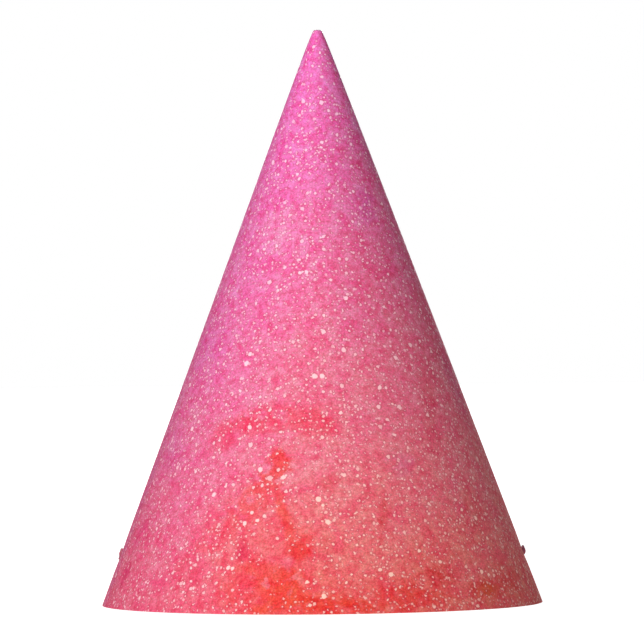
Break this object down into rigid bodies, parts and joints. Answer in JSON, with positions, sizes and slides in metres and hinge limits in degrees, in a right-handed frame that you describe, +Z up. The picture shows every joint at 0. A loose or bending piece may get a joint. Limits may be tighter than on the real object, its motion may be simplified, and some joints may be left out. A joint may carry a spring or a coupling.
{
  "type": "party hat",
  "caption": "Paper cone party hat with a lapped and taped back seam and an elastic chin cord knotted through punched side holes.",
  "frame": {"origin": "centre of the hem circle, on the surface the hat stands on", "axes": "+Z up the cone's axis to the tip, front faces -Y, lapped seam at the back on +Y, cord holes on +X and -X"},
  "size_m": [0.1524, 0.1524, 0.1986],
  "materials": {
    "printed_card": "matte",
    "adhesive_tape": "matte",
    "elastic": "matte"
  },
  "bodies": {
    "hat": {"cone_blank": "printed_card", "seam_adhesive_strip": "adhesive_tape", "elastic_knot_right": "elastic", "elastic_knot_left": "elastic"},
    "chin_elastic": {"elastic_cord": "elastic"}
  },
  "joints": [
    {"name": "chin_elastic_swing", "type": "hinge", "parent": "hat", "child": "chin_elastic", "pos_m": [0, 0, 0.018], "axis": [-1, 0, 0], "range_deg": [0, 150]}
  ]
}
